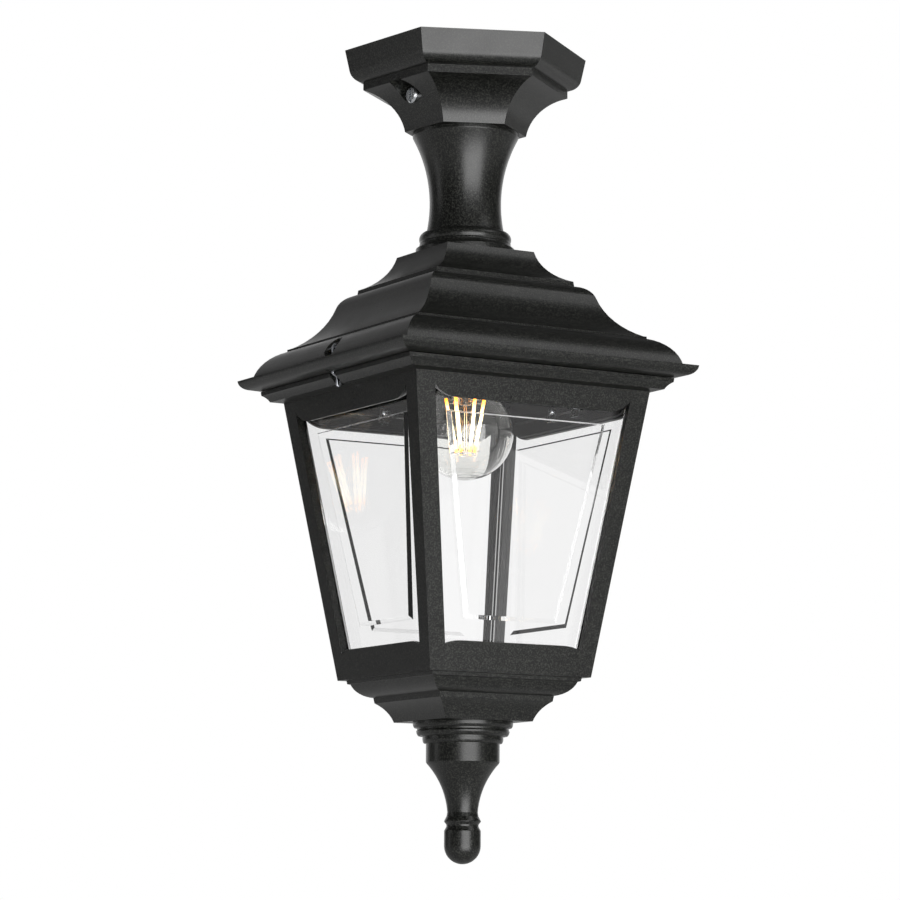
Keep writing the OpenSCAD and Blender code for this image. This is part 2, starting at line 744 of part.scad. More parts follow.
neck_inside = concat(
    [[neck_collar_d / 2 - neck_wall, over], [neck_collar_d / 2 - neck_wall, -neck_collar_h]],
    arc([neck_collar_d / 2 - neck_wall, -neck_collar_h],
        [neck_low_d / 2 - neck_wall, neck_bead_z], 40, 16),
    [[neck_low_d / 2 - neck_wall, -neck_h - over]]);

// A turned solid, from its half outline
module turned(half) {
    rotate_extrude() polygon(concat([[0, half[0][1]]], half, [[0, half[len(half) - 1][1]]]));
}

module neck() color(coat) translate([0, 0, canopy_foot_z]) difference() {
    turned(neck_half);
    turned(neck_inside);
}

// ---------------------------------------------------------------- roof

tier1_z = -tier1_h;
band_z = tier1_z - tier1_band_h;
shoulder_z = band_z - tier2_shoulder_h;
tier2_z = shoulder_z - tier2_h;
step_z = tier2_z - tier3_step_h;
tier3_z = step_z - tier3_h;
band_out = tier1_band_h / 8;
roof_tiers = concat(
    [[roof_top_w / 2, 0]],
    arc([roof_top_w / 2, 0], [tier1_w / 2, tier1_z], 59),
    [[tier1_w / 2 + band_out, band_z], [tier1_w / 2 + 4 * band_out, band_z]],
    arc([tier1_w / 2 + 4 * band_out, band_z], [tier2_w / 2, shoulder_z], -62),
    arc([tier2_w / 2, shoulder_z], [tier2_foot_w / 2, tier2_z], 47),
    [[tier2_foot_w / 2 + tier3_step_h * 0.7, tier2_z],
        [tier2_foot_w / 2 + tier3_step_h * 0.7, step_z]],
    arc([tier2_foot_w / 2 + tier3_step_h * 0.7, step_z], [tier3_foot_w / 2, tier3_z], -63));
roof_half = concat(roof_tiers,
    [[lip_w / 2, tier3_z - lip_fall]],
    arc([lip_w / 2, tier3_z - lip_fall],
        [lip_w / 2 - lip_round_w, tier3_z - lip_fall - lip_h], -72),
    [[rim_w / 2, rim_z - roof_top_z]]);
roof_inside = concat(
    [for (p = roof_tiers) [min(p[0] - roof_wall, roof_mouth_w / 2), p[1] - roof_wall]],
    [[roof_mouth_w / 2, rim_z - roof_top_z - over]]);

module roof() color(coat) difference() {
    union() {
        translate([0, 0, roof_top_z]) difference() {
            square_body(roof_half, 2 * lip_w);
            square_body(roof_inside, 2 * lip_w);
        }
        at_roof_knuckles() knuckle(roof_knuckle_l, rim_z + lip_h / 2);
    }
    bar(tube_d + 2 * pin_fit, roof_top_z + over, roof_deck_z - over);
    hinge_bore();
    latch_window();
    latch_slot();
    latch_pin_bore();
}

// ---------------------------------------------------------------- hinge

hinge_x = ring_w / 2 + hinge_gap + knuckle_r;
hinge_z = ring_top_z - knuckle_r;
cage_knuckle_out = hinge_half - roof_knuckle_l - hinge_gap;

// A knuckle about the hinge axis, centred on y = 0, with a lug up to the roof
module knuckle(l, lug_top) {
    rotate([90, 0, 0]) translate([0, 0, -l / 2]) cylinder(h = l, r = knuckle_r);
    translate([-knuckle_r, -l / 2, 0]) cube([2 * knuckle_r, l, lug_top - hinge_z]);
}

module at_roof_knuckles() {
    for (side = [-1, 1])
        translate([hinge_x, side * (hinge_half - roof_knuckle_l / 2), hinge_z]) children();
}

module at_cage_knuckles() {
    for (side = [-1, 1])
        translate([hinge_x, side * (cage_knuckle_out - cage_knuckle_l / 2), hinge_z])
            children();
}

module hinge_bore() {
    translate([hinge_x, 0, hinge_z]) rotate([90, 0, 0])
        cylinder(h = 4 * hinge_half, d = pin_d + 2 * pin_fit, center = true);
}

// The pin has a low round head at each end
pin_head_h = pin_d / 3;
module hinge_pin() color(plate) translate([hinge_x, 0, hinge_z]) rotate([90, 0, 0]) {
    cylinder(h = 2 * hinge_half, d = pin_d, center = true);
    for (side = [0, 180]) rotate([side, 0, 0])
        translate([0, 0, hinge_half]) cylinder(h = pin_head_h, d = pin_d * 1.6);
}

// ---------------------------------------------------------------- latch

latch_eye_r = latch_pin_d / 2 + 2 * pin_fit + latch_wire_d / 2;
latch_pin_w = lip_w / 2 - latch_pin_inset;
latch_pin_z = rim_z + latch_pin_rise;
latch_leg_w = latch_pin_w + latch_eye_r;
arch_z = rim_z + arch_sill;
notch_floor_w = ring_w / 2 - notch_depth;
// How far out the wire reaches at height z when it is swung away from the cage
function latch_out(z) = latch_pin_w + (latch_eye_r + latch_wire_d / 2) / cos(latch_swing)
    + (latch_pin_z - z) * tan(latch_swing) + hinge_gap;

module latch_window() {
    translate([0, 0, arch_z]) rotate([90, 0, -90])
        translate([0, 0, tier2_w / 2]) linear_extrude(height = lip_w) union() {
            translate([-arch_w / 2, 0]) square([arch_w, arch_h - arch_w / 2]);
            translate([0, arch_h - arch_w / 2]) circle(d = arch_w);
        }
}

module latch_slot() {
    translate([0, latch_slot_w / 2, 0]) rotate([90, 0, 0])
        linear_extrude(height = latch_slot_w) polygon([
            [-roof_mouth_w / 2 + over, latch_pin_z], [-latch_pin_w, latch_pin_z],
            [-latch_out(arch_z + over), arch_z + over], [-latch_out(rim_z - over), rim_z - over],
            [-roof_mouth_w / 2 + over, rim_z - over]]);
}

latch_pin_l = arch_w + 2 * latch_pin_d;
module latch_pin_bore() {
    translate([-latch_pin_w, 0, latch_pin_z]) rotate([90, 0, 0])
        cylinder(h = latch_pin_l, d = latch_pin_d, center = true);
}

module latch_pin() color(plate) translate([-latch_pin_w, 0, latch_pin_z]) rotate([90, 0, 0])
    cylinder(h = latch_pin_l, d = latch_pin_d, center = true);

// Route of the latch wire in the plane y = 0: an eye round the pin, a straight leg
// through the rim, a step inward under it and a turned-up finger end
latch_low_w = latch_leg_w - latch_kink;
latch_bend_z = ring_top_z - latch_reach + latch_turn_r;
function latch_at(w, z) = [-w, 0, z];
latch_route = concat(
    [for (a = [-90:-15:-360])
        latch_at(latch_pin_w + latch_eye_r * cos(a), latch_pin_z + latch_eye_r * sin(a))],
    [latch_at(latch_leg_w, rim_z)],
    curve(latch_at(latch_leg_w, rim_z), latch_at(latch_leg_w, rim_z - latch_kink / 2),
        latch_at(latch_low_w, rim_z - latch_kink / 2),
        latch_at(latch_low_w, rim_z - latch_kink), 6),
    [for (a = [0:-15:-180])
        latch_at(latch_low_w - latch_turn_r + latch_turn_r * cos(a),
            latch_bend_z + latch_turn_r * sin(a))],
    [latch_at(latch_low_w - 2 * latch_turn_r, latch_bend_z + 2 * latch_turn_r)]);

module latch_clip() color(plate) wire(latch_route, latch_wire_d, [0, 1, 0], 12);

// ---------------------------------------------------------------- cage ring

ring_drop = ring_h / 7;
ring_half = concat(
    [[ring_w / 2, 0], [ring_w / 2 - ring_drop / 4, -ring_edge_h]],
    arc([ring_w / 2 - ring_drop / 4, -ring_edge_h], [ring_foot_w / 2, ring_drop - ring_h], 36),
    [[cage_top_w / 2, -ring_h]]);

module at_four_sides() {
    for (side = [0:90:270]) rotate([0, 0, side]) children();
}

module at_ring_screws() {
    for (side = [-1, 1]) translate(
        [side * ring_screw_x, -cage_top_w / 2 + ring_screw_inset, ring_top_z]) children();
}

module cage_ring() color(coat) difference() {
    union() {
        translate([0, 0, ring_top_z]) square_body(ring_half, 2 * ring_w);
        at_cage_knuckles() {
            rotate([90, 0, 0]) translate([0, 0, -cage_knuckle_l / 2])
                cylinder(h = cage_knuckle_l, r = knuckle_r);
            translate([cage_top_w / 2 - hinge_x, -cage_knuckle_l / 2, -knuckle_r])
                cube([hinge_x - cage_top_w / 2, cage_knuckle_l, knuckle_r]);
        }
    }
    translate([-ring_hole_w / 2, -ring_hole_w / 2, ring_top_z - 2 * ring_h])
        cube([ring_hole_w, ring_hole_w, 3 * ring_h]);
    translate([-ring_w, -notch_w / 2, ring_top_z - 2 * ring_h])
        cube([ring_w - notch_floor_w, notch_w, 3 * ring_h]);
    hinge_bore();
    at_four_sides() at_ring_screws()
        translate([0, 0, -2 * ring_h]) cylinder(h = 3 * ring_h, d = frame_screw_d + hole_slack);
}

module ring_screws() color(plate) at_four_sides() at_ring_screws()
    screw(frame_screw_d - 2 * pin_fit, ring_h + ring_screw_reach, frame_head_d, frame_head_h);

// ---------------------------------------------------------------- frames

rail_v = -top_rail_h / cos(cage_lean);
sill_v = -(cage_h - bottom_rail_h) / cos(cage_lean);
glass_top_v = rail_v + top_ear_h + glass_end_cover;
glass_foot_v = sill_v - low_ear_h - glass_end_cover;
function face_half(v) = cage_top_w / 2 + v * sin(cage_lean);

// Onto the sloping front face: x across, y up the slope, z out of the face
module on_face() {
    translate([0, -cage_top_w / 2, cage_top_z]) rotate([90 + cage_lean, 0, 0]) children();
}

// Outline of the glazed opening, grown on all sides
module opening(grow) {
    top_v = rail_v + grow;
    low_v = sill_v - grow;
    polygon(both_sides(concat(
        [[face_half(rail_v) - stile_w - top_ear_l, top_v]],
        arc([face_half(rail_v) - stile_w - top_ear_l, top_v],
            [face_half(rail_v) - stile_w + grow, top_v + top_ear_h],
            2 * atan(top_ear_h / (top_ear_l + grow)), 6),
        [[face_half(sill_v) - stile_w + grow, low_v - low_ear_h]],
        arc([face_half(sill_v) - stile_w + grow, low_v - low_ear_h],
            [face_half(sill_v) - stile_w - low_ear_l, low_v],
            2 * atan(low_ear_h / (low_ear_l + grow)), 6))));
}

// The part of a front frame between the two mitres and the two level ends
module mitre_wedge() {
    translate([0, -mitre_gap, cage_foot_z]) linear_extrude(height = cage_h)
        polygon([[0, 0], [-cage_top_w, -cage_top_w], [cage_top_w, -cage_top_w]]);
}

base_screw_w = base_w / 2 - base_screw_inset;
foot_boss_w = base_screw_w - frame_screw_d;
module at_base_screws() {
    for (side = [-1, 1])
        translate([side * base_screw_x, -base_screw_w, cage_foot_z + base_screw_deck])
            children();
}

module at_clips() {
    for (side = [-1, 1]) {
        translate([side * clip_x, glass_top_v, 0]) children();
        translate([side * clip_x, glass_foot_v, 0]) mirror([0, 1, 0]) children();
    }
}

module frame() color(coat) difference() {
    union() {
        intersection() {
            mitre_wedge();
            on_face() difference() {
                union() {
                    translate([-cage_top_w, -2 * cage_h, -face_t])
                        cube([2 * cage_top_w, 3 * cage_h, face_t]);
                    translate([-cage_top_w, glass_top_v + glass_gap, -frame_depth])
                        cube([2 * cage_top_w, cage_h, frame_depth]);
                    translate([-cage_top_w, glass_foot_v - glass_gap - cage_h, -frame_depth])
                        cube([2 * cage_top_w, cage_h, frame_depth]);
                }
                translate([0, 0, -face_t - over]) linear_extrude(height = face_t + 2 * over)
                    opening(0);
                translate([0, 0, -face_t - over])
                    linear_extrude(height = face_t + over - quirk_depth) opening(quirk_w);
            }
        }
        for (side = [-1, 1])
            translate([side * base_screw_x - frame_head_d, -base_screw_w - frame_screw_d,
                cage_foot_z])
                cube([2 * frame_head_d, base_screw_w + frame_screw_d - foot_boss_w,
                    base_screw_deck]);
    }
    on_face() at_clips() translate([0, clip_seat / 2, -frame_depth - over])
        cylinder(h = frame_depth - face_t / 2 + over, d = clip_screw_d);
    at_ring_screws() translate([0, 0, -ring_h - ring_screw_reach - end_slack])
        cylinder(h = 2 * ring_h + ring_screw_reach, d = frame_screw_d);
    at_base_screws() {
        translate([0, 0, -2 * base_screw_deck])
            cylinder(h = 3 * base_screw_deck, d = frame_screw_d + hole_slack);
        cylinder(h = bottom_rail_h * 0.9, d = frame_head_d + hole_slack);
    }
}

module front_frame() frame();
module right_frame() rotate([0, 0, 90]) frame();
module back_frame() rotate([0, 0, 180]) frame();
module left_frame() rotate([0, 0, 270]) frame();

// ---------------------------------------------------------------- glass

// Outline of a pane, drawn in by the given widths at the sides, top and bottom
module pane_outline(side, top, foot) {
    half = function(v) face_half(v) - stile_w + glass_cover - side;
    polygon(both_sides([[half(glass_top_v), glass_top_v - top],
        [half(glass_foot_v), glass_foot_v + foot]]));
}

// A flat border, and a field raised on a narrow bevel with mitred corners
module pane() color(clear) on_face() translate([0, 0, -face_t - glass_gap - glass_t]) {
    linear_extrude(height = glass_border_t) pane_outline(0, 0, 0);
    hull() {
        linear_extrude(height = glass_border_t)
            pane_outline(border_side, border_top, border_foot);
        linear_extrude(height = glass_t)
            pane_outline(border_side + bevel_w, border_top + bevel_top_w, border_foot + bevel_w);
    }
}

module front_glass() pane();
module right_glass() rotate([0, 0, 90]) pane();
module back_glass() rotate([0, 0, 180]) pane();
module left_glass() rotate([0, 0, 270]) pane();

module glass_clips() color(plate) at_four_sides() on_face() at_clips() difference() {
    translate([-clip_w / 2, clip_seat - clip_h, -frame_depth - clip_t])
        cube([clip_w, clip_h, clip_t]);
    translate([0, clip_seat / 2, -frame_depth - clip_t - over])
        cylinder(h = clip_t + 2 * over, d = clip_screw_d);
}

module glass_clip_screws() color(plate) at_four_sides() on_face() at_clips()
    translate([0, clip_seat / 2, -frame_depth - clip_t]) mirror([0, 0, 1])
        screw(clip_screw_d - 2 * pin_fit, clip_t + frame_depth - face_t, clip_screw_d * 1.8,
            clip_screw_d * 0.6);

// ---------------------------------------------------------------- base

base_round_z = -base_edge_h - base_ledge_h;
base_band_z = base_round_z - base_round_h;
base_cove_z = base_band_z - base_band_h;
base_half = concat(
    [[base_w / 2, 0], [base_w / 2 - base_ledge_h, -base_edge_h],
        [base_w / 2 - base_ledge_w, base_round_z]],
    arc([base_w / 2 - base_ledge_w, base_round_z], [base_band_w / 2, base_band_z], -62),
    [[base_band_w / 2 - base_band_h / 6, base_cove_z]],
    arc([base_band_w / 2 - base_band_h / 6, base_cove_z], [base_foot_w / 2, -base_h], 40));
base_inside =
    [for (p = base_half) [min(p[0] - base_wall, base_mouth_w / 2), p[1] + base_wall]];
base_floor_z = base_foot_z + base_wall;

module base() color(coat) difference() {
    translate([0, 0, cage_foot_z]) difference() {
        square_body(base_half, 2 * base_w);
        square_body(base_inside, 2 * base_w);
    }
    bar(stud_d + hole_slack, base_floor_z + over, base_foot_z - over);
    at_four_sides() at_base_screws()
        translate([0, 0, -base_screw_deck - base_screw_reach - end_slack])
            cylinder(h = 2 * base_screw_deck + base_screw_reach, d = frame_screw_d);
}

module base_screws() color(plate) at_four_sides() at_base_screws()
    screw(frame_screw_d - 2 * pin_fit, base_screw_deck + base_screw_reach, frame_head_d,
        frame_head_h);

// ---------------------------------------------------------------- finial

groove_z = -flange_h - groove_h;
ring2_z = groove_z - ring2_h;
ring3_z = ring2_z - ring3_h;
drum_z = ring3_z - drum_h;
flare_z = drum_z - flare_h;
bead_z = flare_z - bead_h;
tip_top_z = bead_z - tip_neck_h;
tip_round_z = tip_top_z - tip_h;
finial_half = concat(
    [[flange_d / 2, 0], [flange_d / 2, -flange_h * 0.4]],
    arc([flange_d / 2, -flange_h * 0.4], [flange_d / 2 * 0.97, -flange_h], -40, 4),
    [[groove_d / 2, -flange_h], [groove_d / 2, groove_z],
        [ring2_d / 2, groove_z - ring2_h * 0.2]],
    arc([ring2_d / 2, groove_z - ring2_h * 0.2], [ring2_d / 2 * 0.955, ring2_z], -40, 4),
    [[ring3_d / 2, ring2_z], [ring3_d / 2, ring2_z - ring3_h / 3]],
    arc([ring3_d / 2, ring2_z - ring3_h / 3], [ring3_d / 2 * 0.97, ring3_z], -40, 4),
    [[drum_d / 2, ring3_z], [drum_d / 2, drum_z], [drum_d / 2 * 0.97, drum_z - flare_h / 30]],
    arc([drum_d / 2 * 0.97, drum_z - flare_h / 30], [stem_d / 2, flare_z], 38, 12),
    [[stem_d / 2 * 1.05, flare_z - bead_h * 0.29], [bead_d / 2, flare_z - bead_h * 0.6],
        [bead_d / 2, flare_z - bead_h * 0.66], [stem_d / 2 * 1.06, flare_z - bead_h * 0.85],
        [stem_d / 2 * 1.05, bead_z], [tip_d / 2, tip_top_z], [tip_d / 2, tip_round_z]],
    arc([tip_d / 2, tip_round_z], [0, tip_round_z - tip_d / 2], -90, 12));

module finial() color(coat) difference() {
    translate([0, 0, base_foot_z]) turned(finial_half);
    bar(stud_d, base_foot_z + over, base_foot_z - stud_reach - end_slack);
}

stud_top_z = base_floor_z + stud_washer_t + stud_nut_h + stud_d / 4;
module finial_stud() color(plate)
    bar(stud_d - 2 * pin_fit, stud_top_z, base_foot_z - stud_reach);
module finial_nut() color(plate)
    nut(stud_nut_w, stud_d, base_floor_z + stud_washer_t + stud_nut_h,
        base_floor_z + stud_washer_t);
module finial_washer() color(plate)
    ring(stud_washer_d, stud_d + hole_slack, base_floor_z + stud_washer_t, base_floor_z);

// ---------------------------------------------------------------- lampholder

shell_d = shell_bore + 2 * shell_wall;
cavity_top_z = holder_top_z - holder_top_t;
shell_top_z = cavity_top_z - holder_top_t / 2;
holder_foot_z = holder_top_z - holder_h;
lamp_top_z = cavity_top_z - contact_room;
contact_top_z = shell_top_z + holder_top_t / 10;
contact_d = shell_bore / 4;

module lampholder_body() color([0.93, 0.92, 0.89]) difference() {
    bar(holder_d, holder_top_z, holder_foot_z);
    bar(tube_d + 2 * pin_fit, holder_top_z + over, holder_ledge_z);
    bar(tube_bore, holder_top_z, cavity_top_z - over);
    bar(shell_d + 2 * pin_fit, cavity_top_z, holder_foot_z - over);
}

// The screw shell hangs from its flange, and the contact passes through the flange
module lampholder_shell() color(yellow_brass) difference() {
    bar(shell_d, shell_top_z, holder_foot_z + 2 * shell_wall);
    bar(shell_bore, shell_top_z - shell_wall, holder_foot_z - over);
    bar(contact_d * 1.6, shell_top_z + over, shell_top_z - 2 * shell_wall);
}

module lampholder_contact() color(yellow_brass)
    bar(contact_d, contact_top_z, lamp_top_z + end_slack);

// ---------------------------------------------------------------- lamp

bulb_foot_z = lamp_top_z - lamp_l;
bulb_z = bulb_foot_z + bulb_d / 2;
cap_foot_z = lamp_top_z - cap_l;
insulator_h = cap_l / 7;
thread_top_z = lamp_top_z - insulator_h;
threads = 6;
thread_h = (cap_l - insulator_h) * 0.85;

module lamp_insulator() color([0.12, 0.12, 0.14]) translate([0, 0, thread_top_z]) {
    cylinder(h = insulator_h * 0.7, d1 = cap_d * 0.72, d2 = cap_d * 0.42);
    cylinder(h = insulator_h, d = contact_d * 1.3);
}

cap_half = concat([[cap_d * 0.38, 0], [cap_d * 0.46, -insulator_h / 6]],
    [for (i = [0:threads - 1]) each
        [[cap_d / 2, -thread_h * (i + 0.5) / threads],
            [cap_d * 0.475, -thread_h * (i + 1) / threads]]],
    [[cap_d / 2, -thread_h * 1.02], [cap_d / 2, cap_foot_z - thread_top_z]]);
module lamp_cap() color(plate) translate([0, 0, thread_top_z]) difference() {
    turned(cap_half);
    bar(cap_d * 0.9, -insulator_h / 2, cap_foot_z - thread_top_z - over);
}

// Half outline of the bulb, drawn in by the wall for its inside
function bulb_half(draw) = let (r = bulb_d / 2 - draw, neck_r = cap_d * 0.445 - draw,
        neck_z = cap_foot_z + cap_l * 0.2 - bulb_z)
    concat([[neck_r, neck_z], [neck_r, cap_foot_z - bulb_z]],
        arc([neck_r, cap_foot_z - bulb_z], [r * cos(42), r * sin(42)], 32, 8),
        arc([r * cos(42), r * sin(42)], [0, -r], -132, 20));

module lamp_glass() color(clear) translate([0, 0, bulb_z]) difference() {
    turned(bulb_half(0));
    turned(concat([bulb_half(bulb_wall)[0] - [0, bulb_wall]],
        [for (i = [1:len(bulb_half(0)) - 1]) bulb_half(bulb_wall)[i]]));
}

// Glass stem down the middle, with a rod to the hub of the filament strips
filament_foot_z = bulb_foot_z + filament_rise;
filament_top_z = filament_foot_z
    + sqrt(filament_l * filament_l - pow(filament_high_r - filament_low_r, 2));
stem_foot_z = filament_top_z - filament_d * 2;
hub_t = filament_d * 0.7;
module lamp_stem() color(clear) {
    translate([0, 0, stem_foot_z]) cylinder(
        h = cap_foot_z + cap_l * 0.2 - 2 * bulb_wall - stem_foot_z,
        d1 = filament_low_r, d2 = cap_d * 0.6);
    bar(filament_d, stem_foot_z + over, filament_foot_z - hub_t / 2);
    bar(2 * filament_low_r + filament_d, filament_foot_z, filament_foot_z - hub_t);
}

module at_filaments() {
    for (i = [0:filaments - 1]) rotate([0, 0, 360 * (i + 0.5) / filaments]) children();
}

filament_lean = asin((filament_high_r - filament_low_r) / filament_l);
module lamp_filaments() color([1, 0.85, 0.45]) at_filaments()
    translate([filament_low_r, 0, filament_foot_z + filament_d / 4])
        rotate([0, filament_lean, 0]) cylinder(h = filament_l, d = filament_d);

// Short wires carry the upper ends of the strips from the stem
lead_in_r = filament_low_r * 0.64;
lead_out_r = filament_high_r - filament_d * 0.65;
module lamp_leads() color(plate) at_filaments()
    translate([lead_in_r, 0, filament_top_z]) rotate([0, 90, 0])
        cylinder(h = lead_out_r - lead_in_r, d = filament_d / 3);

ceiling_bracket();
earth_screw();
canopy();
canopy_screws();
terminal_block();
terminal_tubes();
terminal_screw();
live_wire();
neutral_wire();
earth_wire();
threaded_tube();
tube_nuts();
tube_washers();
neck();
roof();
lampholder_body();
lampholder_shell();
lampholder_contact();
lamp_glass();
lamp_cap();
lamp_insulator();
lamp_stem();
lamp_leads();
lamp_filaments();
hinge_pin();
cage_ring();
ring_screws();
front_frame();
right_frame();
back_frame();
left_frame();
front_glass();
right_glass();
back_glass();
left_glass();
glass_clips();
glass_clip_screws();
base();
base_screws();
finial();
finial_stud();
finial_nut();
finial_washer();
latch_pin();
latch_clip();
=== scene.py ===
# %% [markdown]
# A porch lantern hangs close under a ceiling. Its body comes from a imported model
# whose pieces are already in place, so this lesson dresses them: it gives each one
# the finish of the real piece, softens their edges, and sets the camera and the
# lights. Everything is in metres, with the ceiling face at height zero.

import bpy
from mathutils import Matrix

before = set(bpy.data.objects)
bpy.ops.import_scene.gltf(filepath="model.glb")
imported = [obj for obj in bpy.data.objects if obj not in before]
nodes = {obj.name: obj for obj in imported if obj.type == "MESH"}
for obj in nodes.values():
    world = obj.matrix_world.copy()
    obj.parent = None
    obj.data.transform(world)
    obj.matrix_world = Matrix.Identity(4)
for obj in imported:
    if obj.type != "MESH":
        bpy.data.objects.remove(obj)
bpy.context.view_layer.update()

import math

import bpy
from mathutils import Matrix, Vector

MM = 0.001
print("pieces:", len(nodes))

# %% [markdown]
# Colours are written as the hex values that a paint chart gives. Light adds up in
# linear values, so one function turns a hex colour into linear red, green and blue.

# %% Colour helper
def paint(hex_colour, alpha=1.0):
    channels = [int(hex_colour[i:i + 2], 16) / 255 for i in (1, 3, 5)]
    linear = [c / 12.92 if c <= 0.04045 else ((c + 0.055) / 1.055) ** 2.4 for c in channels]
    return (*linear, alpha)


print("a middle grey in linear light:", round(paint("#808080")[0], 3))

# %% [markdown]
# A material is a small network. The first helper adds one node, sets its options
# and its input values, and joins its inputs to the outputs named. Each network in
# this lesson is built from it alone. The other two start an empty material and lay
# a finished one over pieces.

# %% Node helper
def add(tree, kind, values=(), links=(), **options):
    node = tree.nodes.new(kind)
    for name, value in options.items():
        setattr(node, name, value)
    for name, value in dict(values).items():
        node.inputs[name].default_value = value
    for name, output in dict(links).items():
        tree.links.new(output, node.inputs[name])
    return node


def new_finish(name):
    material = bpy.data.materials.new(name)
    material.use_nodes = True
    material.node_tree.nodes.clear()
    return material, material.node_tree


def cover(material, *names):
    for name in names:
        data = nodes[name].data
        data.materials.clear()
        data.materials.append(material)
    print(material.name, "on", ", ".join(names))


# %% [markdown]
# The body is cast and sheet aluminium under a satin black polyester powder coat.
# Powder melts into a film with a fine orange-peel grain, about half a millimetre
# from crest to crest. The eye sees a near-black with a soft sheen and a salt of
# tiny lighter specks, which are glints on the grain. The grain is a noise pattern
# on the colour, the roughness and the bump, drawn at 0.9 mm so that a render shows
# it. In the colour, its lighter specks are painted glints. A slow cloud also varies
# the roughness, as the film flows out glossier in some places than in others.

# %% Black powder coat
GRAIN_MM = 0.9
CLOUD_MM = 18
powder_coat, tree = new_finish("satin_black_powder_coat")
place = add(tree, "ShaderNodeTexCoord")
grain = add(tree, "ShaderNodeTexNoise",
            {"Scale": 1 / (GRAIN_MM * MM), "Detail": 2.0, "Roughness": 0.6},
            {"Vector": place.outputs["Object"]})
cloud = add(tree, "ShaderNodeTexNoise", {"Scale": 1 / (CLOUD_MM * MM), "Detail": 3.0},
            {"Vector": place.outputs["Object"]})
# The lighter end of this ramp is a painted glint: it puts the glints of the grain into the
# colour as lighter specks
shade = add(tree, "ShaderNodeValToRGB", links={"Fac": grain.outputs["Fac"]})
shade.color_ramp.elements[0].position = 0.47
shade.color_ramp.elements[0].color = paint("#060706")
shade.color_ramp.elements[1].position = 0.65
shade.color_ramp.elements[1].color = paint("#353632")
patch = add(tree, "ShaderNodeMapRange", {"To Min": 0.24, "To Max": 0.34},
            {"Value": cloud.outputs["Fac"]})
speck = add(tree, "ShaderNodeMapRange",
            {"From Min": 0.35, "From Max": 0.65, "To Min": 0.0, "To Max": 0.08},
            {"Value": grain.outputs["Fac"]})
rough = add(tree, "ShaderNodeMath",
            links={0: patch.outputs["Result"], 1: speck.outputs["Result"]}, operation="ADD")
bumps = add(tree, "ShaderNodeBump", {"Strength": 0.6, "Distance": 0.05 * MM},
            {"Height": grain.outputs["Fac"]})
coat = add(tree, "ShaderNodeBsdfPrincipled", {"IOR": 1.5},
           {"Base Color": shade.outputs["Color"], "Roughness": rough.outputs["Value"],
            "Normal": bumps.outputs["Normal"]})
add(tree, "ShaderNodeOutputMaterial", links={"Surface": coat.outputs["BSDF"]})
cover(powder_coat, "canopy", "neck", "roof", "cage_ring", "front_frame", "right_frame",
      "back_frame", "left_frame", "base", "finial")

# %% [markdown]
# The panes are clear float glass with a ground and polished bevel, and the bulb is
# blown soda glass under a millimetre thick, with a stem of the same glass. Both
# have an index of refraction of about 1.5. Four millimetres of float glass have no
# colour that the eye can see, and a bulb is a hair warmer. A slow, very slight
# waviness, wider in float glass than in a blown bulb, keeps the reflections from
# looking computed.

# %% Clear glass
def glass_finish(name, colour, wave_mm, swell):
    finish, tree = new_finish(name)
    place = add(tree, "ShaderNodeTexCoord")
    wave = add(tree, "ShaderNodeTexNoise", {"Scale": 1 / (wave_mm * MM), "Detail": 1.0},
               {"Vector": place.outputs["Object"]})
    ripple = add(tree, "ShaderNodeBump", {"Strength": swell, "Distance": 1 * MM},
                 {"Height": wave.outputs["Fac"]})
    glass = add(tree, "ShaderNodeBsdfPrincipled",
                {"Base Color": paint(colour), "Roughness": 0.0, "IOR": 1.5,
                 "Transmission Weight": 1.0}, {"Normal": ripple.outputs["Normal"]})
    add(tree, "ShaderNodeOutputMaterial", links={"Surface": glass.outputs["BSDF"]})
    return finish


PANES = ("front_glass", "right_glass", "back_glass", "left_glass")
cover(glass_finish("polished_float_glass", "#ffffff", 60, 0.02), *PANES)
cover(glass_finish("blown_clear_glass", "#fdfdfb", 25, 0.03), "lamp_glass", "lamp_stem")

# %% [markdown]
# Each filament strip is a row of tiny diodes under yellow phosphor, and it glows.
# The middle of a strip burns out to white in a photograph, and its cooler ends stay
# amber. A ramp along the height of the strips draws this, and a little noise makes
# the single diodes show.

# %% Glowing filament strip
DIODE_MM = 2
filament_glow, tree = new_finish("phosphor_filament_strip")
place = add(tree, "ShaderNodeTexCoord")
along = add(tree, "ShaderNodeSeparateXYZ", links={0: place.outputs["Generated"]})
diodes = add(tree, "ShaderNodeTexNoise", {"Scale": 1 / (DIODE_MM * MM), "Detail": 1.0},
             {"Vector": place.outputs["Object"]})
flicker = add(tree, "ShaderNodeMapRange", {"To Min": -0.12, "To Max": 0.12},
              {"Value": diodes.outputs["Fac"]})
reach = add(tree, "ShaderNodeMath",
            links={0: along.outputs["Z"], 1: flicker.outputs["Result"]}, operation="ADD")
warm = add(tree, "ShaderNodeValToRGB", links={"Fac": reach.outputs["Value"]})
warm.color_ramp.elements[0].position = 0.05
warm.color_ramp.elements[0].color = paint("#ffab38")
warm.color_ramp.elements[1].position = 0.95
warm.color_ramp.elements[1].color = paint("#ff9a1f")
warm.color_ramp.elements.new(0.25).color = paint("#fff1cf")
warm.color_ramp.elements.new(0.65).color = paint("#ffedc0")
glow = add(tree, "ShaderNodeBsdfPrincipled",
           {"Base Color": paint("#f2b544"), "Roughness": 0.5, "Emission Strength": 5.0},
           {"Emission Color": warm.outputs["Color"]})
add(tree, "ShaderNodeOutputMaterial", links={"Surface": glow.outputs["BSDF"]})
cover(filament_glow, "lamp_filaments")

# %% [markdown]
# Screws, nuts, washers, the strap and the clips are mild steel with bright zinc
# plating. The plating keeps the fine lines of the drawn or rolled steel, so the
# colour, the roughness and the bump follow a noise stretched along one axis. The
# same network serves the brass, the lamp cap and the bare spring wire, with other
# colours.

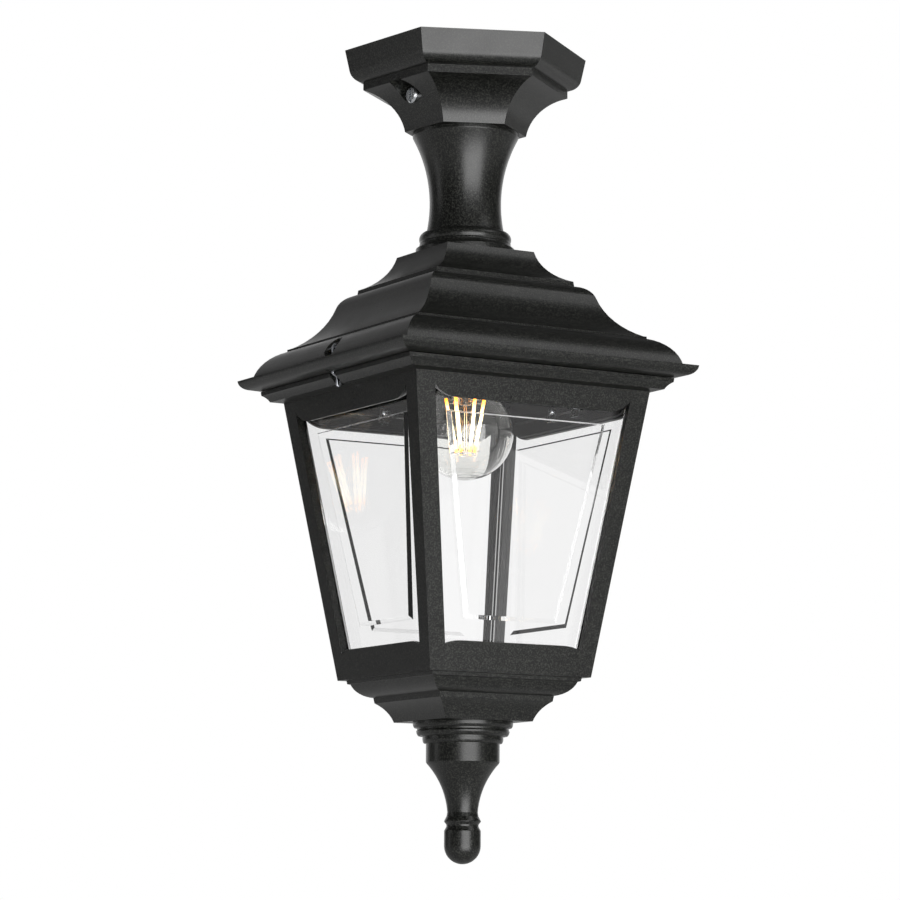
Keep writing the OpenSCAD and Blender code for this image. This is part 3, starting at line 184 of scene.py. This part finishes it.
# %% Plated and bare metals
def metal_finish(name, colour, dull_colour, roughness, line_mm):
    finish, tree = new_finish(name)
    place = add(tree, "ShaderNodeTexCoord")
    stretch = add(tree, "ShaderNodeMapping", {"Scale": (1, 1, 0.15)},
                  {"Vector": place.outputs["Object"]})
    lines = add(tree, "ShaderNodeTexNoise", {"Scale": 1 / (line_mm * MM), "Detail": 3.0},
                {"Vector": stretch.outputs["Vector"]})
    tone = add(tree, "ShaderNodeValToRGB", links={"Fac": lines.outputs["Fac"]})
    tone.color_ramp.elements[0].position = 0.3
    tone.color_ramp.elements[0].color = paint(dull_colour)
    tone.color_ramp.elements[1].position = 0.65
    tone.color_ramp.elements[1].color = paint(colour)
    worn = add(tree, "ShaderNodeMapRange",
               {"To Min": roughness * 0.7, "To Max": roughness * 1.3},
               {"Value": lines.outputs["Fac"]})
    scratch = add(tree, "ShaderNodeBump", {"Strength": 0.15, "Distance": 0.02 * MM},
                  {"Height": lines.outputs["Fac"]})
    surface = add(tree, "ShaderNodeBsdfPrincipled", {"Metallic": 1.0},
                  {"Base Color": tone.outputs["Color"], "Roughness": worn.outputs["Result"],
                   "Normal": scratch.outputs["Normal"]})
    add(tree, "ShaderNodeOutputMaterial", links={"Surface": surface.outputs["BSDF"]})
    return finish


cover(metal_finish("bright_zinc_plated_steel", "#e2e4e6", "#b9bcc0", 0.25, 0.8),
      "ceiling_bracket", "canopy_screws", "terminal_screw", "threaded_tube", "tube_nuts",
      "tube_washers", "hinge_pin", "ring_screws", "glass_clips", "glass_clip_screws",
      "base_screws", "finial_stud", "finial_nut", "finial_washer", "latch_pin", "lamp_leads")
cover(metal_finish("drawn_spring_steel", "#c9cbd0", "#8e9197", 0.3, 0.6), "latch_clip")
cover(metal_finish("turned_brass", "#d9b866", "#a88742", 0.28, 0.7),
      "earth_screw", "terminal_tubes", "lampholder_shell", "lampholder_contact")
cover(metal_finish("nickel_plated_brass_cap", "#dcdad4", "#a5a39e", 0.22, 0.5), "lamp_cap")

# %% [markdown]
# Insulating pieces are moulded or glazed: a white nylon terminal block, a glazed
# porcelain lampholder, a black glass button under the lamp cap, and the vinyl
# sleeves of the wires. Each has a slight cloud in its colour and a smooth skin, and
# the glazed ones have a clear coat over it.

# %% Moulded and glazed pieces
def moulded_finish(name, colour, shadow_colour, roughness, cloud_mm, glaze=0.0):
    finish, tree = new_finish(name)
    place = add(tree, "ShaderNodeTexCoord")
    cloud = add(tree, "ShaderNodeTexNoise", {"Scale": 1 / (cloud_mm * MM), "Detail": 4.0},
                {"Vector": place.outputs["Object"]})
    tone = add(tree, "ShaderNodeValToRGB", links={"Fac": cloud.outputs["Fac"]})
    tone.color_ramp.elements[0].position = 0.3
    tone.color_ramp.elements[0].color = paint(shadow_colour)
    tone.color_ramp.elements[1].position = 0.7
    tone.color_ramp.elements[1].color = paint(colour)
    skin = add(tree, "ShaderNodeBump", {"Strength": 0.08, "Distance": 0.05 * MM},
               {"Height": cloud.outputs["Fac"]})
    surface = add(tree, "ShaderNodeBsdfPrincipled",
                  {"Roughness": roughness, "IOR": 1.5, "Coat Weight": glaze},
                  {"Base Color": tone.outputs["Color"], "Normal": skin.outputs["Normal"]})
    add(tree, "ShaderNodeOutputMaterial", links={"Surface": surface.outputs["BSDF"]})
    return finish


cover(moulded_finish("white_nylon", "#eeece4", "#dedbd0", 0.45, 4), "terminal_block")
cover(moulded_finish("glazed_porcelain", "#f2efe6", "#e6e1d3", 0.15, 9, 0.6),
      "lampholder_body")
cover(moulded_finish("black_insulating_glass", "#16161a", "#08080a", 0.1, 5, 0.5),
      "lamp_insulator")
cover(moulded_finish("brown_vinyl_sleeve", "#6b3a1e", "#5a2f17", 0.4, 3), "live_wire")
cover(moulded_finish("blue_vinyl_sleeve", "#2460a8", "#1c4f8f", 0.4, 3), "neutral_wire")

# %% [markdown]
# The earth wire has a green and yellow sleeve that marks it. A wave pattern gives
# broad bands of the two colours, and a sharp ramp keeps their edges crisp.

# %% Green and yellow sleeve
BAND_MM = 14
earth_sleeve, tree = new_finish("green_yellow_vinyl_sleeve")
place = add(tree, "ShaderNodeTexCoord")
stripes = add(tree, "ShaderNodeTexWave", {"Scale": 1 / (BAND_MM * MM), "Distortion": 0.4},
              {"Vector": place.outputs["Object"]}, bands_direction="Z")
split = add(tree, "ShaderNodeValToRGB", links={"Fac": stripes.outputs["Fac"]})
split.color_ramp.elements[0].position = 0.48
split.color_ramp.elements[0].color = paint("#3f8f3a")
split.color_ramp.elements[1].position = 0.52
split.color_ramp.elements[1].color = paint("#e8d23c")
surface = add(tree, "ShaderNodeBsdfPrincipled", {"Roughness": 0.4, "IOR": 1.5},
              {"Base Color": split.outputs["Color"]})
add(tree, "ShaderNodeOutputMaterial", links={"Surface": surface.outputs["BSDF"]})
cover(earth_sleeve, "earth_wire")

# %% [markdown]
# Cast and pressed pieces have no knife edges: the powder also rounds them. A weld
# joins the triangles of each solid, flat faces are merged, and a small bevel
# rounds the true edges, so each corner catches a line of light. The curves of the
# mouldings are fine strips, which shade as one smooth surface where neighbouring
# strips turn by less than sixteen degrees. Normals weighted by area keep the broad
# flats flat beside the rounded edges. The panes get the smallest rounding, as the
# polisher only breaks their edges.

# %% Soften the edges
WELD_MM = 0.001
FLAT_DEGREES, EDGE_DEGREES = 0.5, 16


def soften(radius_mm, *names):
    for name in names:
        piece = nodes[name]
        for polygon in piece.data.polygons:
            polygon.use_smooth = True
        weld = piece.modifiers.new("weld", "WELD")
        weld.merge_threshold = WELD_MM * MM
        flat = piece.modifiers.new("merge_flats", "DECIMATE")
        flat.decimate_type = "DISSOLVE"
        flat.angle_limit = math.radians(FLAT_DEGREES)
        edge = piece.modifiers.new("edge_round", "BEVEL")
        edge.width = radius_mm * MM
        edge.segments = 2
        edge.limit_method = "ANGLE"
        edge.angle_limit = math.radians(EDGE_DEGREES)
        edge.use_clamp_overlap = True
        shading = piece.modifiers.new("flats_stay_flat", "WEIGHTED_NORMAL")
        shading.mode = "FACE_AREA_WITH_ANGLE"
        shading.weight = 80
    print("edges of", radius_mm, "mm on", ", ".join(names))


soften(0.35, "canopy", "roof", "cage_ring", "front_frame", "right_frame", "back_frame",
       "left_frame", "base")
soften(0.25, "neck", "finial")
soften(0.12, *PANES)

# %% [markdown]
# The photographer stood to the left of the lantern and a little below it, and
# looked up. The place, the angles and the lens were worked out from the straight
# edges of the cage and the roof, with 36 mm of film across 900 pixels.

# %% Camera
EYE = (-1.11632, -1.86467, -0.54934)
YAW, PITCH, ROLL = -30.675, 7.802, 0.296
LENS_MM, FILM_MM = 141.03, 36
camera = bpy.data.objects.new("camera", bpy.data.cameras.new("camera"))
camera.data.lens = LENS_MM
camera.data.sensor_width = FILM_MM
camera.data.sensor_fit = "HORIZONTAL"
bpy.context.scene.collection.objects.link(camera)
turn = (Matrix.Rotation(math.radians(YAW), 4, "Z")
        @ Matrix.Rotation(math.radians(90 + PITCH), 4, "X")
        @ Matrix.Rotation(math.radians(ROLL), 4, "Z"))
camera.matrix_world = Matrix.Translation(Vector(EYE)) @ turn
bpy.context.scene.camera = camera
print("camera:", LENS_MM, "mm lens at", EYE)

# %% [markdown]
# The lantern hangs in a plain studio, with a pale floor well below it. The camera
# and the glass see the floor as pale paper that keeps some shadow, and gloss sees a
# paler sweep than the dim lamps would give it. Rays that light a matt surface see
# neither, so the floor puts no more light on the lantern.

# %% Floor
FLOOR_Z, FLOOR_HALF = -2.4, 20
PAPER_SHARE, PAPER_LEVEL, SWEEP_LEVEL = 0.8, 0.9, 0.45
floor_mesh = bpy.data.meshes.new("floor")
corners = ((-1, -1), (1, -1), (1, 1), (-1, 1))
floor_mesh.from_pydata([(x * FLOOR_HALF, y * FLOOR_HALF, FLOOR_Z) for x, y in corners], [],
                       [(0, 1, 2, 3)])
floor = bpy.data.objects.new("floor", floor_mesh)
bpy.context.scene.collection.objects.link(floor)
floor_finish, tree = new_finish("pale_studio_floor")
place = add(tree, "ShaderNodeTexCoord")
mottle = add(tree, "ShaderNodeTexNoise", {"Scale": 8.0}, {"Vector": place.outputs["Object"]})
tone = add(tree, "ShaderNodeValToRGB", links={"Fac": mottle.outputs["Fac"]})
tone.color_ramp.elements[0].color = paint("#e9e9e9")
tone.color_ramp.elements[1].color = paint("#f0f0f0")
matt = add(tree, "ShaderNodeBsdfPrincipled", {"Roughness": 0.9},
           {"Base Color": tone.outputs["Color"]})
ray = add(tree, "ShaderNodeLightPath")
clear_ray = add(tree, "ShaderNodeMath",
                links={0: ray.outputs["Is Camera Ray"], 1: ray.outputs["Is Transmission Ray"]},
                operation="MAXIMUM")
paper = add(tree, "ShaderNodeMath", {1: PAPER_SHARE}, {0: clear_ray.outputs["Value"]},
            operation="MULTIPLY")
mirrored = add(tree, "ShaderNodeMath", {1: 1.0}, {0: ray.outputs["Glossy Depth"]},
               operation="MINIMUM")
looked_at = add(tree, "ShaderNodeMath",
                links={0: paper.outputs["Value"], 1: mirrored.outputs["Value"]},
                operation="MAXIMUM")
unlit = add(tree, "ShaderNodeMath", {1: 0.5}, {0: ray.outputs["Diffuse Depth"]},
            operation="LESS_THAN")
share = add(tree, "ShaderNodeMath",
            links={0: looked_at.outputs["Value"], 1: unlit.outputs["Value"]},
            operation="MULTIPLY")
level = add(tree, "ShaderNodeMapRange", {"To Min": SWEEP_LEVEL, "To Max": PAPER_LEVEL},
            {"Value": clear_ray.outputs["Value"]})
sweep = add(tree, "ShaderNodeEmission", {"Color": paint("#ffffff")},
            {"Strength": level.outputs["Result"]})
floor_mix = add(tree, "ShaderNodeMixShader",
                links={0: share.outputs["Value"], 1: matt.outputs["BSDF"],
                       2: sweep.outputs["Emission"]})
add(tree, "ShaderNodeOutputMaterial", links={"Surface": floor_mix.outputs["Shader"]})
floor_mesh.materials.append(floor_finish)
print("floor at", FLOOR_Z, "m")

# %% [markdown]
# The camera, and the rays that pass straight through glass, see a white background.
# Gloss sees that background only where it stands, behind the lantern, so the black
# coat stays black and keeps its shape. A level of 1 is white. Elsewhere the room is
# dim, except for light that turns inside a pane, which leaves the pane towards a
# pale room.

# %% Background
BACKDROP_AZIMUTH, BACKDROP_HALF_WIDTH, SIDE_FADE = 62, 40, 0.08
TOP_FADE_START, TOP_FADE_END = 0.3, 0.6
DIM_LEVEL, ROOM_LEVEL = 0.08, 0.5
world = bpy.data.worlds.new("studio")
bpy.context.scene.world = world
world.use_nodes = True
tree = world.node_tree
tree.nodes.clear()

ray = add(tree, "ShaderNodeLightPath")
turns = add(tree, "ShaderNodeMath",
            links={0: ray.outputs["Glossy Depth"], 1: ray.outputs["Diffuse Depth"]},
            operation="ADD")
straight = add(tree, "ShaderNodeMath", {1: 0.5}, {0: turns.outputs["Value"]},
               operation="LESS_THAN")
clear_ray = add(tree, "ShaderNodeMath",
                links={0: ray.outputs["Is Camera Ray"], 1: ray.outputs["Is Transmission Ray"]},
                operation="MAXIMUM")
direct = add(tree, "ShaderNodeMath",
             links={0: straight.outputs["Value"], 1: clear_ray.outputs["Value"]},
             operation="MULTIPLY")

# The wall behind the lantern, as a sector of headings with soft sides and a soft top
place = add(tree, "ShaderNodeTexCoord")
flat = add(tree, "ShaderNodeVectorMath", {1: (1, 1, 0)}, {0: place.outputs["Generated"]},
           operation="MULTIPLY")
heading = add(tree, "ShaderNodeVectorMath", links={0: flat.outputs["Vector"]},
              operation="NORMALIZE")
wall_angle = math.radians(BACKDROP_AZIMUTH)
facing = add(tree, "ShaderNodeVectorMath", {1: (math.cos(wall_angle), math.sin(wall_angle), 0)},
             {0: heading.outputs["Vector"]}, operation="DOT_PRODUCT")
edge_cos = math.cos(math.radians(BACKDROP_HALF_WIDTH))
wall = add(tree, "ShaderNodeMapRange",
           {"From Min": edge_cos - SIDE_FADE, "From Max": edge_cos + SIDE_FADE},
           {"Value": facing.outputs["Value"]}, interpolation_type="SMOOTHSTEP")
height = add(tree, "ShaderNodeSeparateXYZ", links={0: place.outputs["Generated"]})
top = add(tree, "ShaderNodeMapRange", {"From Min": TOP_FADE_END, "From Max": TOP_FADE_START},
          {"Value": height.outputs["Z"]}, interpolation_type="SMOOTHSTEP")
backdrop = add(tree, "ShaderNodeMath",
               links={0: wall.outputs["Result"], 1: top.outputs["Result"]},
               operation="MULTIPLY")

# Rays of gloss and glass see that wall, but not on their way from a matt surface
unlit = add(tree, "ShaderNodeMath", {1: 0.5}, {0: ray.outputs["Diffuse Depth"]},
            operation="LESS_THAN")
mirror_ray = add(tree, "ShaderNodeMath",
                 links={0: ray.outputs["Is Glossy Ray"], 1: ray.outputs["Is Transmission Ray"]},
                 operation="MAXIMUM")
gloss = add(tree, "ShaderNodeMath",
            links={0: mirror_ray.outputs["Value"], 1: unlit.outputs["Value"]},
            operation="MULTIPLY")
mirrored = add(tree, "ShaderNodeMath",
               links={0: gloss.outputs["Value"], 1: backdrop.outputs["Value"]},
               operation="MULTIPLY")
seen = add(tree, "ShaderNodeMath",
           links={0: direct.outputs["Value"], 1: mirrored.outputs["Value"]},
           operation="MAXIMUM")
inside = add(tree, "ShaderNodeMath",
             links={0: ray.outputs["Is Transmission Ray"], 1: unlit.outputs["Value"]},
             operation="MULTIPLY")
room = add(tree, "ShaderNodeMapRange", {"To Min": DIM_LEVEL, "To Max": ROOM_LEVEL},
           {"Value": inside.outputs["Value"]})
dim = add(tree, "ShaderNodeBackground", {"Color": paint("#ffffff")},
          {"Strength": room.outputs["Result"]})
white = add(tree, "ShaderNodeBackground", {"Color": paint("#ffffff"), "Strength": 1.0})
mix = add(tree, "ShaderNodeMixShader",
          links={0: seen.outputs["Value"], 1: dim.outputs["Background"],
                 2: white.outputs["Background"]})
add(tree, "ShaderNodeOutputWorld", links={"Surface": mix.outputs["Shader"]})
print("background:", len(tree.nodes), "nodes")

# %% [markdown]
# One broad lamp in front, to the camera's left, draws the soft highlights on the
# neck and on the faces turned to it. A narrow strip lights the left edge from
# behind, and a weak lamp above on the right lifts the shoulders of the roof. Each
# stands three metres from the middle of the lantern, on its own heading and height.

# %% Lamps
LAMP_DISTANCE = 3.0
LAMP_AIM = Vector((0, 0, -0.25))


def soft_lamp(name, azimuth, elevation, width, height, watts):
    lamp = bpy.data.objects.new(name, bpy.data.lights.new(name, "AREA"))
    lamp.data.shape = "RECTANGLE"
    lamp.data.size = width
    lamp.data.size_y = height
    lamp.data.energy = watts
    a, e = math.radians(azimuth), math.radians(elevation)
    away = Vector((math.cos(a) * math.cos(e), math.sin(a) * math.cos(e), math.sin(e)))
    lamp.location = LAMP_AIM + away * LAMP_DISTANCE
    lamp.rotation_euler = (-away).to_track_quat("-Z", "Y").to_euler()
    bpy.context.scene.collection.objects.link(lamp)
    print(name, watts, "W at heading", azimuth)


soft_lamp("key_in_front", -99, -10, 3.0, 2.0, 100)
soft_lamp("strip_behind_left", 149, 5, 0.5, 1.4, 3)
soft_lamp("top_right", -50, 40, 1.4, 1.0, 9)

# %% [markdown]
# The standard view transform shows each colour as it is written.

# %% Finish
bpy.context.scene.view_settings.view_transform = "Standard"
